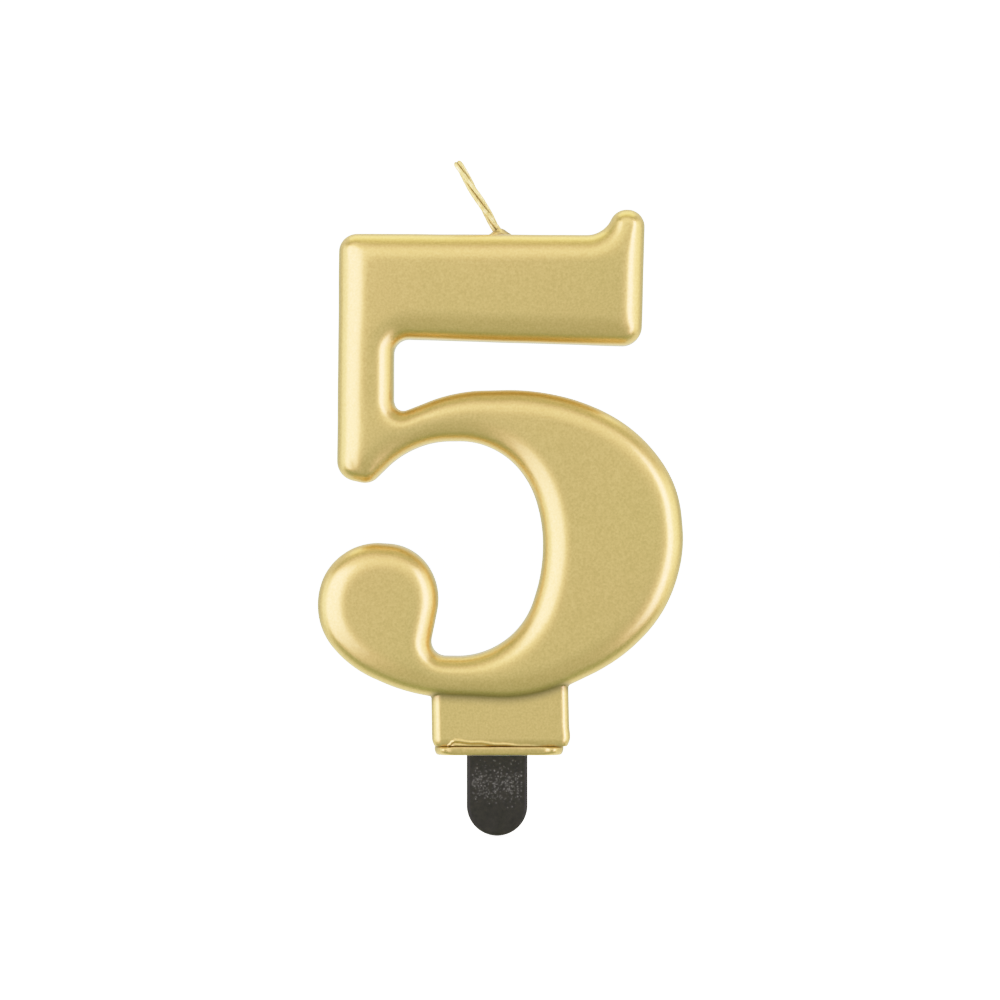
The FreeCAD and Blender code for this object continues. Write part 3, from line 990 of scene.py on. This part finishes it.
def wick_mound():
    """Lacquered wax drawn up round the leaning wick, with a torn point on the right."""
    angle = np.linspace(0, 2 * math.pi, 72, endpoint=False)
    tail = bell(np.angle(np.exp(1j * (angle - 0.1))), 0.3)
    wobble = 1 + 0.08 * np.sin(3 * angle + 0.7) + 0.05 * np.sin(5 * angle + 2.1)
    right = 0.5 * (1 + np.cos(angle + 0.25))
    loops = []
    for share, high in MOUND_SECTION:
        rise = high * np.where(high > 0, 0.45 + 0.75 * right, 1.0)
        lean = MOUND_LEAN * np.maximum(rise, 0) ** 1.2
        radius = MOUND_RADIUS + (MOUND_RADIUS * wobble + MOUND_TAIL * tail) * share
        rise = rise - 0.10 * tail * share * (1 - share)
        x = MOUND_X + lean * (1 - share) + radius * np.cos(angle)
        loops.append(np.stack([x, radius * np.sin(angle), BAR_TOP + rise], 1))
    point, faces = join_loops(loops, closed=True)
    faces = [face[::-1] for face in faces]
    piece = make_piece("wick_mound", point, faces, GOLD, ["wick_collar"])
    x, y, z = point.T
    # darkens the mound in wavy stripes, through the same attribute as the painted shade
    store(piece, "crease", 0.45 + 0.45 * np.sin(3.1 * x + 2.0 * y + 4.0 * z))


gold_skin()
wax_body()
foot_band()
foot_wax()
cake_pick()
wick()
wick_mound()


# --- floor, light and camera ---
CENTRE = Vector((0, 0, 0.038))
CAMERA_DISTANCE = 0.7
FRAME_WIDTH = 0.15             # width of the picture at the candle
SHOULDER, WHITE = 0.5, 1.6     # levels where highlights start to roll off, and where they reach white
BACKDROP = 1.05                # brightness of floor and background, a little past white
MIDDLE = (0.60, 0.645, 0.59)   # colours of the room
FRONT_FLOOR = (0.50, 0.52, 0.43)
FRONT_CEILING = (0.93, 0.86, 0.90)
REAR_FLOOR = (0.95, 0.95, 0.90)
REAR_CEILING = (0.76, 0.77, 0.74)
BAND = (0.33, 0.40, 0.22)
BAND_PLACE = 0.17              # how far in front of the middle the band runs


def floor():
    """A plain white sweep, lit from within so that it stays as pale as the background."""
    mesh = bpy.data.meshes.new("floor")
    half, z = 6.0, (PICK_TIP - 0.05) * MM
    corners = [(-half, -half, z), (half, -half, z), (half, half, z), (-half, half, z)]
    mesh.from_pydata(corners, [], [(0, 1, 2, 3)])
    mat = bpy.data.materials.new("white_floor")
    mat.use_nodes = True
    shader = mat.node_tree.nodes["Principled BSDF"]
    shader.inputs["Base Color"].default_value = (0.85, 0.85, 0.85, 1)
    shader.inputs["Roughness"].default_value = 0.9
    shader.inputs["Specular IOR Level"].default_value = 0.1
    shader.inputs["Emission Color"].default_value = (1, 1, 1, 1)
    shader.inputs["Emission Strength"].default_value = BACKDROP
    mesh.materials.append(mat)
    piece = bpy.data.objects.new("floor", mesh)
    piece.visible_glossy = False
    piece.visible_shadow = False
    bpy.context.collection.objects.link(piece)


def soft_box(name, turn, side, wide, high, radiance, distance=0.9):
    """A box light: turn is its angle from straight in front, side its bearing seen from the front."""
    strength = max(radiance)
    turn, side = math.radians(turn), math.radians(side)
    way = Vector((math.sin(turn) * math.cos(side), -math.cos(turn), math.sin(turn) * math.sin(side)))
    data = bpy.data.lights.new(name, "AREA")
    data.shape = "RECTANGLE"
    data.size, data.size_y = wide, high
    data.energy = strength * math.pi * wide * high
    data.color = [part / strength for part in radiance]
    light = bpy.data.objects.new(name, data)
    light.location = CENTRE + way * distance
    light.rotation_euler = (-way).to_track_quat("-Z", "Y").to_euler()
    light.visible_camera = False
    bpy.context.collection.objects.link(light)


def world():
    """White to the camera. To all else a pale room, with a dark band across its ceiling and floor."""
    studio = bpy.data.worlds.new("studio")
    bpy.context.scene.world = studio
    studio.use_nodes = True
    tree = studio.node_tree
    back = tree.nodes["Background"]

    def node(kind, links, **numbers):
        made = tree.nodes.new("ShaderNode" + kind)
        for name, number in numbers.items():
            made.inputs[name.replace("_", " ")].default_value = number
        for name, source in links.items():
            tree.links.new(source, made.inputs[name])
        return made

    def between(value, low, high, to_low, to_high):
        made = node("MapRange", {"Value": value},
                    From_Min=low, From_Max=high, To_Min=to_low, To_Max=to_high)
        made.interpolation_type = "SMOOTHSTEP"
        return made.outputs["Result"]

    def blend(share, a, b):
        made = tree.nodes.new("ShaderNodeMix")
        made.data_type = "RGBA"
        tree.links.new(share, made.inputs["Factor"])
        for socket, colour in ((MIX_A, a), (MIX_B, b)):
            if isinstance(colour, tuple):
                made.inputs[socket].default_value = (*colour, 1)
            else:
                tree.links.new(colour, made.inputs[socket])
        return made.outputs[MIX_RESULT]

    def maths(operation, *values):
        made = tree.nodes.new("ShaderNodeMath")
        made.operation = operation
        for socket, value in enumerate(values):
            if isinstance(value, float):
                made.inputs[socket].default_value = value
            else:
                tree.links.new(value, made.inputs[socket])
        return made.outputs[0]

    place = node("TexCoord", {}).outputs["Generated"]
    split = node("SeparateXYZ", {"Vector": place})
    y, z = split.outputs["Y"], split.outputs["Z"]
    above, below = between(z, 0.1, 0.5, 0.0, 1.0), between(z, -0.1, -0.5, 0.0, 1.0)
    front = blend(above, blend(below, MIDDLE, FRONT_FLOOR), FRONT_CEILING)
    rear = blend(above, blend(below, MIDDLE, REAR_FLOOR), REAR_CEILING)
    room = blend(between(y, 0.0, 0.3, 0.0, 1.0), front, rear)
    off_band = maths("ABSOLUTE", maths("ADD", y, BAND_PLACE))
    band = maths("MULTIPLY", between(off_band, 0.1, 0.32, 1.0, 0.0), maths("ADD", above, below))
    room = blend(band, room, BAND)
    rays = node("LightPath", {})
    seen = blend(rays.outputs["Is Camera Ray"], room, (1.0, 1.0, 1.0))
    strength = between(rays.outputs["Is Camera Ray"], 0.0, 1.0, 1.0, WHITE * BACKDROP)
    tree.links.new(seen, back.inputs["Color"])
    tree.links.new(strength, back.inputs["Strength"])


def picture_tones():
    """Highlights roll off softly, as in a camera's picture."""
    view = bpy.context.scene.view_settings
    view.view_transform = "Standard"
    view.use_curve_mapping = True
    curves = view.curve_mapping
    curves.white_level = (WHITE, WHITE, WHITE)
    curve = curves.curves[3]  # the one for red, green and blue together
    top = 1 - math.exp(-(WHITE - SHOULDER) / (1 - SHOULDER))
    marks = 9
    for i in range(marks):
        level = SHOULDER + (WHITE - SHOULDER) * i / (marks - 1)
        shown = SHOULDER + (1 - SHOULDER) * (1 - math.exp(-(level - SHOULDER) / (1 - SHOULDER))) / top
        if i < marks - 1:
            curve.points.new(level / WHITE, shown)
    curves.update()


def camera():
    """Straight in front of the candle, looking level."""
    data = bpy.data.cameras.new("camera")
    data.sensor_width = 36.0
    data.lens = data.sensor_width * CAMERA_DISTANCE / FRAME_WIDTH
    data.clip_start = 0.01
    data.clip_end = 20
    cam = bpy.data.objects.new("camera", data)
    cam.location = (-0.00007, -CAMERA_DISTANCE, 0.03814)
    cam.rotation_euler = (math.radians(90), 0, 0)
    bpy.context.collection.objects.link(cam)
    bpy.context.scene.camera = cam


floor()
world()
soft_box("left_box", 47, 180, 0.7, 1.2, (1.40, 1.12, 1.80))
soft_box("right_box", 57, 0, 0.42, 1.3, (1.92, 1.50, 2.60))
soft_box("front_top_box", 35, 90, 0.9, 0.5, (0.25, 0.22, 0.22))
soft_box("over_box", 98, 90, 1.2, 0.55, (0.74, 0.63, 0.52))
soft_box("left_side_box", 85, 180, 0.45, 1.0, (0.68, 0.62, 0.84))
soft_box("right_side_box", 85, 0, 0.45, 1.0, (0.60, 0.50, 0.52))
camera()
picture_tones()
